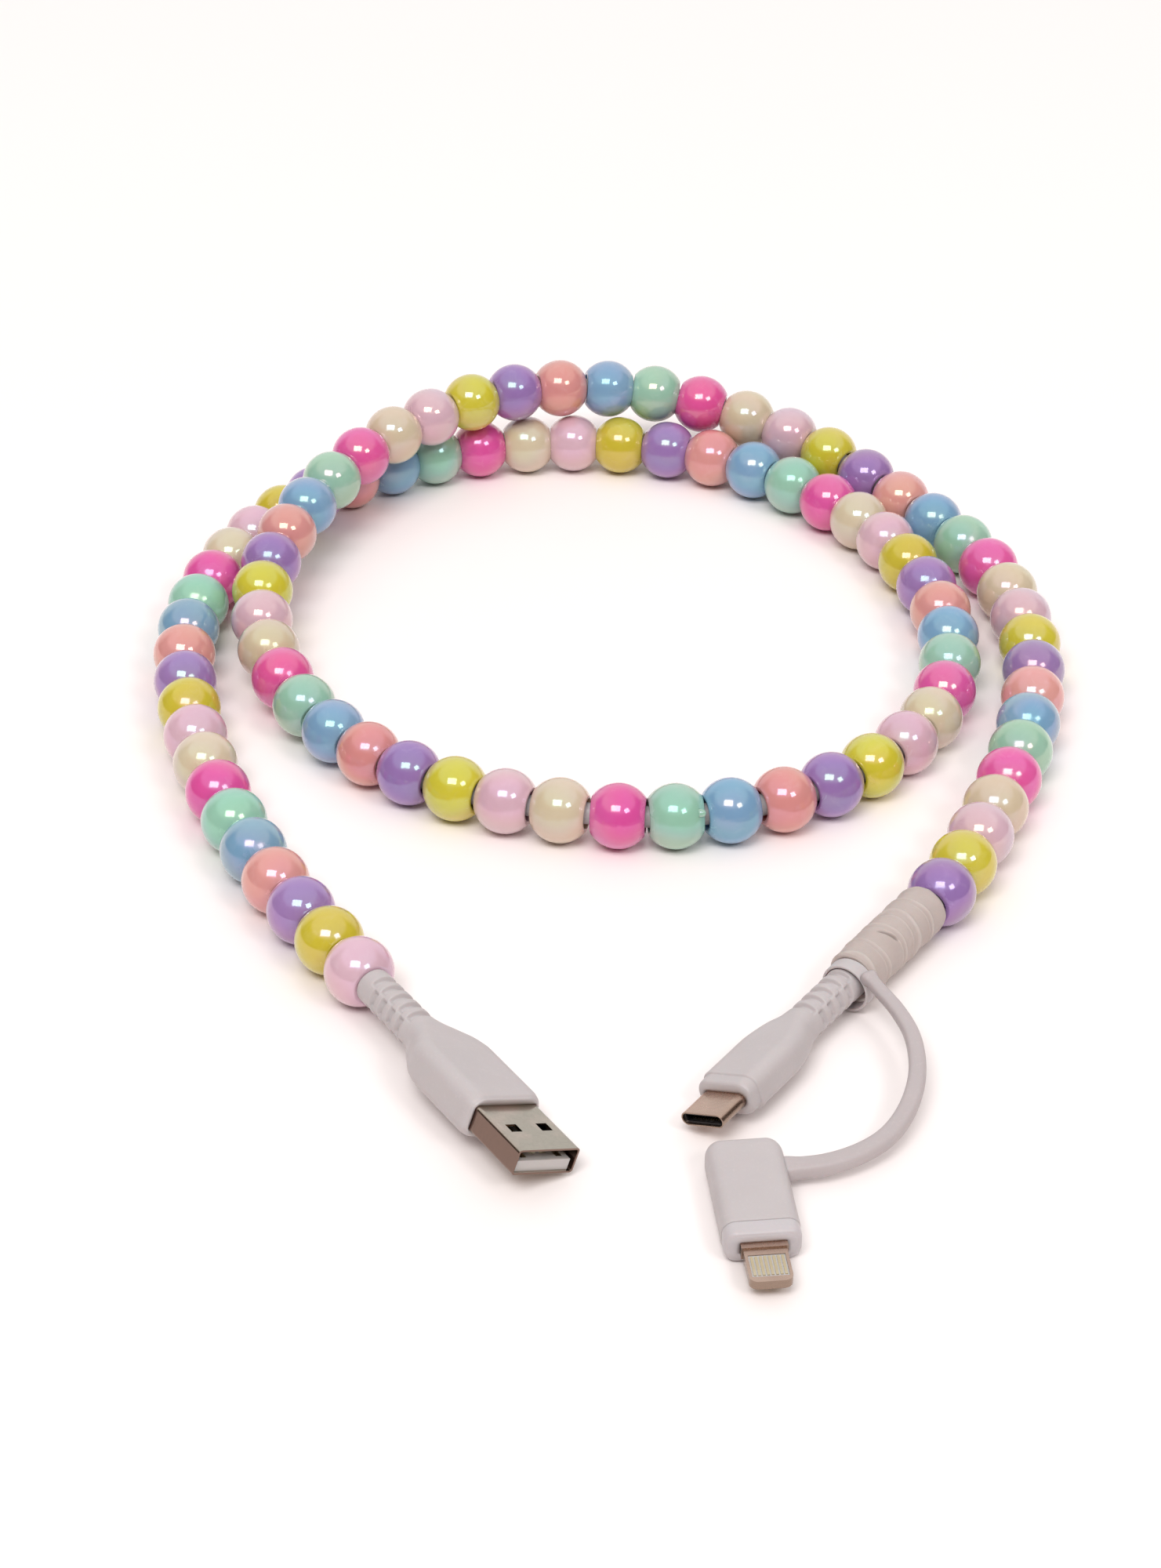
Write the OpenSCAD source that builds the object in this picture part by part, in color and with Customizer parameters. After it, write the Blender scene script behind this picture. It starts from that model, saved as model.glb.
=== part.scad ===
// Beaded charging cable: a USB-A plug, a thin cable threaded with round beads, a USB-C plug and a
// small adapter for phone sockets that hangs beside the USB-C plug on a moulded tether.
// Millimetres, +Z up. The cable lies on the plane z = 0, with the origin under the middle of it all.

/* [Beads] */
// Diameter of a bead
bead_d = 12; // [11.6:0.1:12]
// Length of a bead between its two flat ends
bead_len = 9.5; // [9:0.1:9.5]
// Diameter of the hole through a bead
bead_hole_d = 5.6; // [5.6:0.1:5.8]
// Number of beads on the cable
bead_count = 91; // [64:1:91]

/* [Cable] */
// Diameter of the cable's jacket
cable_d = 4; // [3.6:0.1:4]
// Diameter of one insulated wire inside the plugs
wire_d = 0.9; // [0.7:0.1:0.9]

/* [USB-A plug] */
// Width of the metal tube
usb_a_w = 12; // [11.9:0.05:12.1]
// Height of the metal tube
usb_a_h = 4.5; // [4.4:0.05:4.6]
// Length of metal that stands out of the grip
usb_a_out = 12.8; // [12:0.1:13]
// Width of the grip
usb_a_grip_w = 14.4; // [14:0.1:15]
// Thickness of the grip
usb_a_grip_h = 7.8; // [7.4:0.1:7.8]
// Length of the grip in front of the neck
usb_a_grip_len = 25.8; // [25:0.1:27]
// Length of the ribbed neck behind the grip
usb_a_neck_len = 15.4; // [14.5:0.1:15.6]

/* [USB-C plug] */
// Width of the metal tube
usb_c_w = 8.25; // [8.2:0.01:8.3]
// Height of the metal tube
usb_c_h = 2.4; // [2.36:0.01:2.44]
// Length of metal that stands out of the grip
usb_c_out = 6.65; // [6.2:0.05:6.65]
// Width of the grip at its front
usb_c_grip_w = 11.1; // [10.4:0.1:11.2]
// Thickness of the grip
usb_c_grip_h = 6.5; // [6.2:0.1:6.6]
// Length of the grip in front of the neck
usb_c_grip_len = 23.7; // [23:0.1:25]
// Length of the tape sleeve behind the tether's ring
sleeve_len = 24; // [23:0.5:24]
// Outer diameter of the tape sleeve
sleeve_d = 9.6; // [9.2:0.1:9.8]

/* [Adapter] */
// Width of the adapter
adapter_w = 12.3; // [12:0.1:12.6]
// Thickness of the adapter
adapter_h = 6; // [5.8:0.1:6]
// Length of the adapter without its tip
adapter_len = 23.2; // [22.6:0.1:23.4]
// Width of the metal tip
tip_w = 6.7; // [6.6:0.05:6.8]
// Thickness of the metal tip
tip_h = 1.5; // [1.45:0.01:1.55]
// Length of the metal tip beyond its base
tip_len = 7.5; // [7.2:0.1:7.7]

/* [Tether] */
// Thickness of the tether where it leaves the ring
tether_thin_d = 2.2; // [1.9:0.1:2.4]
// Thickness of the tether where it meets the adapter
tether_thick_d = 3.5; // [3:0.1:3.7]
// Width of the ring along the neck
ring_len = 2.8; // [2.4:0.1:3]

/* [Hidden] */

// Facets of round shapes
$fn = 64;
// Gap between pieces that are pressed or moulded together
fit = 0.02;
// How far a cutting shape runs past the face that it cuts
past = 1;

// Colours of the beads in the order in which they are threaded, from the USB-A end
bead_colours = ["#e4c0d0", "#d6cc54", "#a084be", "#ee8e86", "#7aa0cc", "#8cd0aa", "#ee56aa", "#d6ccb2"];
plastic = "#cfc7ca";
steel = "#b4aca6";
gold = "#d8bc6a";

// Middle line of the cable from the USB-A plug to the tape sleeve. Each span from the second point
// to the last but one carries three beads.
route = [
    [-26, -92.5, 6], [-43, -65.5, 6], [-59, -38.5, 6], [-71.5, -10, 6], [-79.5, 19, 6],
    [-82.5, 49, 6], [-76.5, 78, 6], [-61.5, 104.5, 6], [-37, 122.5, 6], [-7.5, 128.5, 6],
    [22, 121.5, 6], [45.5, 101.5, 6], [60, 75.5, 6], [65.5, 46, 6], [59.5, 15.5, 6],
    [39.5, -7.5, 6], [11, -18, 6], [-19.5, -13, 6], [-45, 3, 6], [-62.5, 27.5, 7.5],
    [-68.5, 57, 10], [-61.5, 86.5, 13], [-45, 111.5, 16.5], [-20, 128.5, 18], [10, 134, 15],
    [38.5, 125, 9.5], [60.5, 101.5, 6.5], [76, 73.5, 6], [81, 43, 6], [77.5, 13.5, 6],
    [68.5, -15, 6], [56.5, -42, 6], [39.5, -66, 4.9]
];
beads_per_span = 3;
first_bead_at = 1;
// Where on the route the jacket starts, inside the USB-A plug's grip
jacket_from = 0.2;
// Rings and sides of the cable's outline
cable_rings = 80;
cable_sides = 10;
// The bead that stands alone in its own node, counted from the USB-A end
turning_bead_number = 46;

// Middle line of the tether from the outer side of its ring to the side of the adapter
tether_route = [
    [41.7, -69.4, 7.8], [43.6, -73.1, 7.4], [46, -77.5, 6.8], [47.9, -83, 6.1], [48.4, -89, 5.4],
    [47.7, -95, 4.8], [45.6, -101.4, 4.2], [42.4, -106.7, 3.7], [38, -110.4, 3.3], [32.4, -113, 3.1],
    [26.1, -114.1, 3]
];
tether_rings = 16;
tether_sides = 8;

// Where the plugs and the adapter lie, which way they point, and how far they are rolled over
usb_a_pos = [-40.6, -69.6, 6.25];
usb_a_heading = -57.2;
usb_a_pitch = 1.05;
usb_a_roll = -21.5;
usb_c_pos = [53.1, -45.9, 5.25];
usb_c_heading = -124.7;
usb_c_pitch = 0.8;
usb_c_roll = 19;
adapter_pos = [19.3, -109.6, adapter_h / 2];
adapter_heading = -84;

// Stations along the USB-A plug, from the back of its neck
usb_a_front = usb_a_neck_len + usb_a_grip_len;
usb_a_mouth = usb_a_front + usb_a_out;
usb_a_tube_back = usb_a_front - 6.75;
usb_a_wall = 0.32;
usb_a_mould_back = usb_a_neck_len + 5.5;
usb_a_tongue_h = 1.9;
// Stations along the USB-C plug, from the back of the tape sleeve
usb_c_tail = 11;
neck_len = 15.6;
usb_c_neck_end = sleeve_len + neck_len;
usb_c_front = usb_c_neck_end + usb_c_grip_len;
usb_c_mouth = usb_c_front + usb_c_out;
usb_c_tube_back = usb_c_front - 3;
usb_c_wall = 0.22;
usb_c_board_back = usb_c_tube_back - 7.5;
usb_c_mould_back = usb_c_board_back - 5;
neck_r = 3.2;
rib_depth = 0.65;
rib_w = 1.3;
// How far the grooves reach to either side of the middle of the top, and of the middle of a flank
top_reach = 2.6;
flank_reach = 1.6;
// The ring is looser than the neck and hangs down to one side of it
ring_gap = 0.3;
ring_at = sleeve_len + ring_gap;
ring_inner_r = neck_r + 0.7;
ring_outer_r = ring_inner_r + 0.5;
ring_hang = [0, 0.26, -0.53];
// Stations along the adapter, from its socket end
cap_len = 3;
socket_w = 8.34;
socket_h = 2.56;
socket_wall = 0.3;
socket_depth = 6.2;
socket_len = 8.4;
adapter_board_len = 8;
base_len = 1.2;
board_h = 0.8;
contact_h = 0.12;

// ---- curves ----

// Smooth curve through a list of points; u counts the points
function mirrored_end(a, b) = 2 * a - b;
function knot(pts, k) =
    k < 0 ? mirrored_end(pts[0], pts[1])
    : k > len(pts) - 1 ? mirrored_end(pts[len(pts) - 1], pts[len(pts) - 2])
    : pts[k];
function on_curve(pts, u) =
    let (
        k = min(floor(u), len(pts) - 2),
        t = u - k,
        p0 = knot(pts, k - 1),
        p1 = knot(pts, k),
        p2 = knot(pts, k + 1),
        p3 = knot(pts, k + 2)
    )
    (2 * p1 + t * (p2 - p0) + t * t * (2 * p0 - 5 * p1 + 4 * p2 - p3)
        + t * t * t * (3 * p1 - p0 - 3 * p2 + p3)) / 2;
function unit(v) = v / norm(v);
function heading_at(pts, u) =
    let (step = 0.01, last = len(pts) - 1)
    unit(on_curve(pts, min(u + step, last)) - on_curve(pts, max(u - step, 0)));

// One ring of a tube: points round a curve, square to it
function tube_ring(pts, u, r, sides) =
    let (
        along = heading_at(pts, u),
        side = unit(cross(along, [0, 0, 1])),
        up = cross(side, along),
        at = on_curve(pts, u)
    )
    [for (j = [0:sides - 1]) at + r * (cos(360 * j / sides) * side + sin(360 * j / sides) * up)];

// A closed skin over rings of equal numbers of points, with flat ends
module skin(rings) {
    n = len(rings[0]);
    last = len(rings) - 1;
    walls = [
        for (i = [0:last - 1]) for (j = [0:n - 1])
            [i * n + j, i * n + (j + 1) % n, (i + 1) * n + (j + 1) % n, (i + 1) * n + j]
    ];
    back_end = [for (j = [0:n - 1]) n - 1 - j];
    front_end = [for (j = [0:n - 1]) last * n + j];
    polyhedron(points = [for (ring = rings) each ring], faces = concat(walls, [back_end, front_end]));
}

// A tube of changing radius along a curve, from the place u_from to the curve's end
module tube_along(pts, u_from, r_from, r_to, rings, sides) {
    last = len(pts) - 1;
    skin([
        for (i = [0:rings - 1])
            let (part = i / (rings - 1))
            tube_ring(pts, u_from + (last - u_from) * part, r_from + (r_to - r_from) * part, sides)
    ]);
}

// Points of a rectangle with round corners: half width, half height, corner radius
corner_steps = 7;
function round_outline(hw, hh, r) = [
    for (c = [[1, 1], [-1, 1], [-1, -1], [1, -1]]) for (j = [0:corner_steps])
        let (a = 90 * j / corner_steps + (c.x > 0 ? (c.y > 0 ? 0 : 270) : (c.y > 0 ? 90 : 180)))
        [c.x * (hw - r) + r * cos(a), c.y * (hh - r) + r * sin(a)]
];

// A solid along +X through round-cornered sections: [station, half width, half height, corner radius]
module grip_body(sections) {
    skin([
        for (s = sections)
            [for (p = round_outline(s[1], s[2], s[3])) [s[0], -p.x, p.y]]
    ]);
}

// ---- simple shapes along +X ----

module bar(x0, x1, w, h, y = 0, z = 0) {
    translate([x0, y - w / 2, z - h / 2])
        cube([x1 - x0, w, h]);
}

module rod(x0, x1, d, y = 0, z = 0) {
    translate([x0, y, z])
        rotate([0, 90, 0])
            cylinder(h = x1 - x0, d = d);
}

// A bar whose section is a rectangle with round corners
module round_bar(x0, x1, w, h, r) {
    translate([x0, 0, 0])
        rotate([90, 0, 90])
            linear_extrude(x1 - x0)
                union() {
                    square([w - 2 * r, h], center = true);
                    square([w, h - 2 * r], center = true);
                    for (sx = [-1, 1], sy = [-1, 1])
                        translate([sx * (w / 2 - r), sy * (h / 2 - r)])
                            circle(r = r);
                }
}

// A bar whose section has fully round ends
module pill_bar(x0, x1, w, h) {
    translate([x0, 0, 0])
        rotate([90, 0, 90])
            linear_extrude(x1 - x0)
                union() {
                    square([w - h, h], center = true);
                    for (s = [-1, 1])
                        translate([s * (w - h) / 2, 0])
                            circle(d = h);
                }
}

// A row of thin contact strips side by side
module contact_row(count, pitch, w, x0, x1, z) {
    for (i = [0:count - 1])
        bar(x0, x1, w, contact_h, (i - (count - 1) / 2) * pitch, z);
}

// Grooves that let a neck bend: one set across its top and underside, and one set across its two
// flanks, halfway between the first
module neck_grooves(x0, count, pitch) {
    for (i = [0:count - 1])
        groove_pair(x0 + i * pitch, 2 * top_reach, 4 * neck_r);
    for (i = [0:count - 2])
        groove_pair(x0 + (i + 0.5) * pitch, 4 * neck_r, 2 * flank_reach);
}

// Two opposite grooves round a neck, as long as a box of this width and height lets them be
module groove_pair(x, w, h) {
    intersection() {
        difference() {
            rod(x, x + rib_w, 2 * (neck_r + past));
            rod(x - past, x + rib_w + past, 2 * (neck_r - rib_depth));
        }
        bar(x - past, x + rib_w + past, w, h);
    }
}

module place_usb_a() {
    translate(usb_a_pos)
        rotate([0, usb_a_pitch, usb_a_heading])
            rotate([usb_a_roll, 0, 0])
                children();
}

module place_usb_c() {
    translate(usb_c_pos)
        rotate([0, usb_c_pitch, usb_c_heading])
            rotate([usb_c_roll, 0, 0])
                children();
}

module place_adapter() {
    translate(adapter_pos)
        rotate([0, 0, adapter_heading])
            children();
}

// ---- USB-A plug ----

// Folded metal tube with two spring windows in its top and two in its underside
module usb_a_metal_tube() {
    window = 2.1;
    window_at = usb_a_mouth - 6.3;
    window_y = 3;
    color(steel)
        place_usb_a()
            difference() {
                round_bar(usb_a_tube_back, usb_a_mouth, usb_a_w, usb_a_h, 0.6);
                round_bar(usb_a_tube_back - past, usb_a_mouth + past,
                    usb_a_w - 2 * usb_a_wall, usb_a_h - 2 * usb_a_wall, 0.35);
                for (s = [-1, 1])
                    bar(window_at - window / 2, window_at + window / 2, window, usb_a_h + past, s * window_y);
            }
}

// Plastic block that fills the lower part of the tube and carries the contacts
module usb_a_tongue() {
    w = usb_a_w - 2 * usb_a_wall - 1;
    floor_z = -usb_a_h / 2 + usb_a_wall + fit;
    color("#e6e2e0")
        place_usb_a()
            difference() {
                union() {
                    bar(usb_a_tube_back, usb_a_mouth - 0.5, w, usb_a_tongue_h, 0, floor_z + usb_a_tongue_h / 2);
                    bar(usb_a_tube_back, usb_a_tube_back + 4, w, usb_a_h - 2 * usb_a_wall - 2 * fit);
                }
                usb_a_contact_strips(usb_a_tube_back - past, usb_a_mouth - 1.4, fit);
            }
}

// Four strips side by side; the outer two are longer
module usb_a_contact_strips(x0, x1, extra) {
    strip_h = 0.25;
    top = -usb_a_h / 2 + usb_a_wall + fit + usb_a_tongue_h;
    for (y = [-3.5, -1, 1, 3.5])
        bar(x0, x1 - (abs(y) > 2 ? 0 : 1), 1.2 + 2 * extra, strip_h + 2 * extra, y, top - strip_h / 2 + extra);
}

module usb_a_contacts() {
    color(gold)
        place_usb_a()
            usb_a_contact_strips(usb_a_tube_back - 2, usb_a_mouth - 1.4 - fit, 0);
}

// Ends of the cable's four wires, spread out to the contacts
module usb_a_wires() {
    color("crimson")
        place_usb_a()
            wire_ends(usb_a_mould_back - 1, usb_a_tube_back - 2 - fit, 2.3);
}

module wire_ends(x0, x1, pitch) {
    for (i = [-1.5:1:1.5])
        hull() {
            translate([x0, i * 1.05 * wire_d, 0])
                sphere(d = wire_d, $fn = 16);
            translate([x1 - wire_d / 2, i * pitch, 0])
                sphere(d = wire_d, $fn = 16);
        }
}

// Inner moulding that holds the wires and the back of the tube together
module usb_a_inner_mould() {
    color("#d9d4d0")
        place_usb_a()
            difference() {
                bar(usb_a_mould_back, usb_a_tube_back - fit, 9, 5);
                usb_a_contact_strips(usb_a_tube_back - 2, usb_a_mouth, fit);
            }
}

// Soft outer grip with its ribbed neck
module usb_a_grip() {
    w = usb_a_grip_w / 2;
    h = usb_a_grip_h / 2;
    n = usb_a_neck_len;
    f = usb_a_front;
    color(plastic)
        place_usb_a()
            difference() {
                grip_body([
                    [0, 2.9, 2.9, 2.9], [0.4, 3.15, 3.15, 3.15], [n, 3.3, 3.3, 3.3],
                    [n + 2, 3.8, 3.4, 3.2], [n + 5, 5.3, 3.6, 2.9], [n + 8, w - 0.5, h - 0.1, 2.7],
                    [n + 11, w, h, 2.6], [f - 2, w, h, 2.6], [f - 0.7, w - 0.2, h - 0.15, 2.5],
                    [f, w - 0.6, h - 0.5, 2.3]
                ]);
                rod(-past, usb_a_mould_back + fit, cable_d + 2 * fit);
                bar(usb_a_mould_back - fit, usb_a_tube_back + fit, 9 + 2 * fit, 5 + 2 * fit);
                round_bar(usb_a_tube_back - fit, f + past, usb_a_w + 2 * fit, usb_a_h + 2 * fit, 0.6);
                neck_grooves(3, 5, 2.74);
            }
}

// ---- cable and beads ----

module cable_jacket() {
    color("#d8d2d2")
        tube_along(route, jacket_from, cable_d / 2, cable_d / 2, cable_rings, cable_sides);
}

// A round bead, cut flat at both ends, with a straight hole
module bead() {
    difference() {
        intersection() {
            sphere(d = bead_d);
            cylinder(h = bead_len, d = bead_d + past, center = true);
        }
        cylinder(h = bead_len + past, d = bead_hole_d, center = true);
    }
}

// The bead with this number, square to the cable at its place
module bead_on_cable(number) {
    u = first_bead_at + (number - 1) / beads_per_span;
    along = heading_at(route, u);
    translate(on_curve(route, u))
        rotate([0, acos(along.z), atan2(along.y, along.x)])
            bead();
}

// All beads of one colour, except the one that has its own node
module beads_of_colour(place) {
    color(bead_colours[place])
        for (number = [place + 1:len(bead_colours):bead_count])
            if (number != turning_bead_number)
                bead_on_cable(number);
}

module turning_bead() {
    color(bead_colours[(turning_bead_number - 1) % len(bead_colours)])
        bead_on_cable(turning_bead_number);
}

// ---- USB-C plug ----

// Tape wound round the end of the cable and the back of the neck, in five turns
module tape_sleeve() {
    turns = 5;
    turn_len = sleeve_len / turns;
    color("#cbc3bc")
        place_usb_c()
            difference() {
                union() {
                    rod(0, sleeve_len, sleeve_d - 0.2);
                    for (i = [0:turns - 1])
                        rod(i * turn_len, (i + 0.6) * turn_len, sleeve_d);
                }
                rod(-past, usb_c_tail, cable_d + 2 * fit);
                rod(usb_c_tail - fit, sleeve_len + past, 2 * (neck_r + fit));
            }
}

// Soft outer grip with its ribbed neck, whose back end lies inside the tape sleeve
module usb_c_grip() {
    w = usb_c_grip_w / 2;
    h = usb_c_grip_h / 2;
    n = usb_c_neck_end;
    f = usb_c_front;
    color(plastic)
        place_usb_c()
            difference() {
                grip_body([
                    [usb_c_tail, neck_r, neck_r, neck_r], [n - 1, neck_r, neck_r, neck_r],
                    [n + 2, 3.5, 3.2, 3.1], [n + 5, 4.6, h, 2.8], [n + 8, w - 0.25, h, 2.6],
                    [n + 10.5, w, h, 2.4], [f - 2.4, w, h, 2.3], [f - 2.2, w - 0.25, h - 0.2, 2.2],
                    [f - 0.5, w - 0.35, h - 0.3, 2.1], [f, w - 0.7, h - 0.6, 1.9]
                ]);
                rod(usb_c_tail - past, usb_c_mould_back + fit, cable_d + 2 * fit);
                bar(usb_c_mould_back - fit, usb_c_tube_back + fit, 8.6 + 2 * fit, 4.6 + 2 * fit);
                pill_bar(usb_c_tube_back - fit, f + past, usb_c_w + 2 * fit, usb_c_h + 2 * fit);
                neck_grooves(ring_at + ring_len + 0.4, 5, 2.7);
            }
}

module usb_c_inner_mould() {
    color("#d9d4d0")
        place_usb_c()
            difference() {
                bar(usb_c_mould_back, usb_c_tube_back - fit, 8.6, 4.6);
                bar(usb_c_board_back - fit, usb_c_tube_back + past, 7 + 2 * fit, board_h + 2 * fit);
                bar(usb_c_board_back + 2 - fit, usb_c_board_back + 3 + fit, 0.6, 1.2, 1, board_h / 2 + 0.3);
            }
}

// Small circuit board between the wires and the contacts
module usb_c_board() {
    color("seagreen")
        place_usb_c()
            bar(usb_c_board_back, usb_c_tube_back - fit, 7, board_h);
}

// Pull-up resistor on the board
module usb_c_resistor() {
    color("#262626")
        place_usb_c()
            bar(usb_c_board_back + 2, usb_c_board_back + 3, 0.5, 0.35, 1, board_h / 2 + 0.2);
}

module usb_c_wires() {
    color("crimson")
        place_usb_c()
            wire_ends(usb_c_mould_back - 1, usb_c_board_back - fit, 1.5);
}

// Seamless oval metal tube
module usb_c_metal_tube() {
    color(steel)
        place_usb_c()
            difference() {
                pill_bar(usb_c_tube_back, usb_c_mouth, usb_c_w, usb_c_h);
                pill_bar(usb_c_tube_back - past, usb_c_mouth + past,
                    usb_c_w - 2 * usb_c_wall, usb_c_h - 2 * usb_c_wall);
            }
}

// Black plastic block inside the tube, open in front for a socket's tongue
module usb_c_contact_block() {
    w = usb_c_w - 2 * usb_c_wall - 2 * fit;
    h = usb_c_h - 2 * usb_c_wall - 2 * fit;
    color("#1c1c1e")
        place_usb_c()
            difference() {
                pill_bar(usb_c_tube_back, usb_c_mouth - 0.4, w, h);
                bar(usb_c_tube_back + 2, usb_c_mouth, 6.9, 1.2);
                for (s = [-1, 1])
                    bar(usb_c_tube_back - past, usb_c_mouth - 1, 0.3 + 2 * fit, 0.9, s * 3.55);
            }
}

// Contact strips lie on the two broad walls of the block's slot
module usb_c_contact_strips(side) {
    color(gold)
        place_usb_c()
            contact_row(12, 0.5, 0.25, usb_c_tube_back + 2.1, usb_c_mouth - 1.2,
                side * (0.6 - fit - contact_h / 2));
}

// Two springs, one in each narrow side, that catch in a socket
module usb_c_latch_springs() {
    color(steel)
        place_usb_c()
            for (s = [-1, 1])
                bar(usb_c_tube_back + fit, usb_c_mouth - 1.2, 0.22, 0.7, s * 3.57);
}

// ---- tether ----

// Loose ring that turns on the neck
module tether_ring() {
    color(plastic)
        place_usb_c()
            translate(ring_hang)
                difference() {
                    rod(ring_at, ring_at + ring_len, 2 * ring_outer_r);
                    rod(ring_at - past, ring_at + ring_len + past, 2 * ring_inner_r);
                }
}

module tether_strap() {
    color(plastic)
        tube_along(tether_route, 0, tether_thin_d / 2, tether_thick_d / 2, tether_rings, tether_sides);
}

// ---- adapter ----

// Soft housing with the socket at its back
module adapter_housing() {
    w = adapter_w / 2;
    h = adapter_h / 2;
    back = adapter_len - cap_len;
    color(plastic)
        place_adapter()
            difference() {
                grip_body([
                    [0, w - 1.3, h - 0.7, 1.7], [0.3, w - 0.8, h - 0.35, 1.9], [0.9, w - 0.35, h - 0.1, 2.1],
                    [1.8, w - 0.05, h, 2.2], [2.6, w, h, 2.2], [back, w, h, 2.2]
                ]);
                pill_bar(-past, socket_len + fit, socket_w + 2 * socket_wall + 2 * fit,
                    socket_h + 2 * socket_wall + 2 * fit);
                bar(socket_len, back + past, 9 + 2 * fit, 4 + 2 * fit);
            }
}

// Stiff cap round the root of the tip
module adapter_front_cap() {
    w = adapter_w / 2;
    h = adapter_h / 2;
    back = adapter_len - cap_len;
    color(plastic)
        place_adapter()
            difference() {
                grip_body([
                    [back, w - 0.12, h - 0.1, 2.1], [adapter_len - 1, w - 0.15, h - 0.12, 2.1],
                    [adapter_len - 0.3, w - 0.45, h - 0.35, 1.9], [adapter_len, w - 1, h - 0.8, 1.7]
                ]);
                bar(back - past, adapter_len + past, tip_w + 0.5 + 2 * fit, 2.1 + 2 * fit);
            }
}

// Inner moulding that fills the housing round the board
module adapter_inner_mould() {
    back = adapter_len - cap_len;
    color("#d9d4d0")
        place_adapter()
            difference() {
                bar(socket_len + fit, back - fit, 9, 4);
                bar(socket_len - past, socket_len + adapter_board_len + fit, 8 + 2 * fit, board_h + 2 * fit);
                bar(11, 14.1, 3.1, 1.2, 0, board_h / 2 + 0.5);
                bar(socket_len + adapter_board_len - fit, back + past, tip_w + 0.5 + 2 * fit, 2.1 + 2 * fit);
            }
}

module adapter_board() {
    color("seagreen")
        place_adapter()
            bar(socket_len + fit, socket_len + adapter_board_len, 8, board_h);
}

// Controller chip on the board
module adapter_chip() {
    color("#262626")
        place_adapter()
            bar(11.05, 14.05, 3, 0.7, 0, board_h / 2 + fit + 0.35);
}

// Metal tube that lines the socket
module adapter_socket_tube() {
    color(steel)
        place_adapter()
            difference() {
                pill_bar(0.3, socket_len, socket_w + 2 * socket_wall, socket_h + 2 * socket_wall);
                pill_bar(0.3 - past, socket_len + past, socket_w, socket_h);
            }
}

// Plastic back wall of the socket and the thin tongue that stands out of it
module adapter_socket_tongue() {
    color("#1c1c1e")
        place_adapter()
            union() {
                pill_bar(socket_depth + 0.3, socket_len, socket_w - 2 * fit, socket_h - 2 * fit);
                bar(2, socket_depth + 0.4, 6.69, 0.7);
            }
}

module adapter_socket_strips(side) {
    color(gold)
        place_adapter()
            contact_row(12, 0.5, 0.25, 2.4, socket_depth + 0.3 - fit, side * (0.35 + fit + contact_h / 2));
}

// Metal tip: a base inside the cap and a flat blade with a round nose
module adapter_tip_metal() {
    root = socket_len + adapter_board_len + fit;
    blade = adapter_len + base_len;
    nose_r = 1.4;
    end = blade + tip_len;
    color(steel)
        place_adapter()
            difference() {
                union() {
                    bar(root, blade, tip_w + 0.5, 2.1);
                    translate([0, 0, -tip_h / 2])
                        linear_extrude(tip_h)
                            union() {
                                translate([blade - past, -tip_w / 2])
                                    square([tip_len + past - nose_r, tip_w]);
                                translate([blade, -tip_w / 2 + nose_r])
                                    square([tip_len, tip_w - 2 * nose_r]);
                                for (s = [-1, 1])
                                    translate([end - nose_r, s * (tip_w / 2 - nose_r)])
                                        circle(r = nose_r);
                            }
                }
                bar(blade + 1.4 - fit, end - 1.2 + fit, 5.7, tip_h + past);
            }
}

// Plastic core that fills the blade's window and carries the contacts
module adapter_tip_insulator() {
    blade = adapter_len + base_len;
    color("#efece6")
        place_adapter()
            bar(blade + 1.4, blade + tip_len - 1.2, 5.66, tip_h - 2 * contact_h - 2 * fit);
}

module adapter_tip_strips(side) {
    blade = adapter_len + base_len;
    color(gold)
        place_adapter()
            contact_row(8, 0.68, 0.42, blade + 1.7, blade + tip_len - 1.5, side * (tip_h - contact_h) / 2);
}

// ---- nodes ----

usb_a_metal_tube();
usb_a_tongue();
usb_a_contacts();
usb_a_wires();
usb_a_inner_mould();
usb_a_grip();
cable_jacket();
beads_of_colour(0);  // beads_light_pink
beads_of_colour(1);  // beads_yellow
beads_of_colour(2);  // beads_purple
beads_of_colour(3);  // beads_coral
beads_of_colour(4);  // beads_blue
beads_of_colour(5);  // beads_mint
beads_of_colour(6);  // beads_hot_pink
beads_of_colour(7);  // beads_cream
turning_bead();
tape_sleeve();
usb_c_grip();
usb_c_inner_mould();
usb_c_board();
usb_c_resistor();
usb_c_wires();
usb_c_metal_tube();
usb_c_contact_block();
usb_c_contact_strips(1);  // usb_c_contacts_upper
usb_c_contact_strips(-1);  // usb_c_contacts_lower
usb_c_latch_springs();
tether_ring();
tether_strap();
adapter_housing();
adapter_front_cap();
adapter_inner_mould();
adapter_board();
adapter_chip();
adapter_socket_tube();
adapter_socket_tongue();
adapter_socket_strips(1);  // adapter_socket_contacts_upper
adapter_socket_strips(-1);  // adapter_socket_contacts_lower
adapter_tip_metal();
adapter_tip_insulator();
adapter_tip_strips(1);  // adapter_tip_contacts_upper
adapter_tip_strips(-1);  // adapter_tip_contacts_lower
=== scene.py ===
import math

import bpy
import numpy as np
from mathutils import Matrix, Vector


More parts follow.
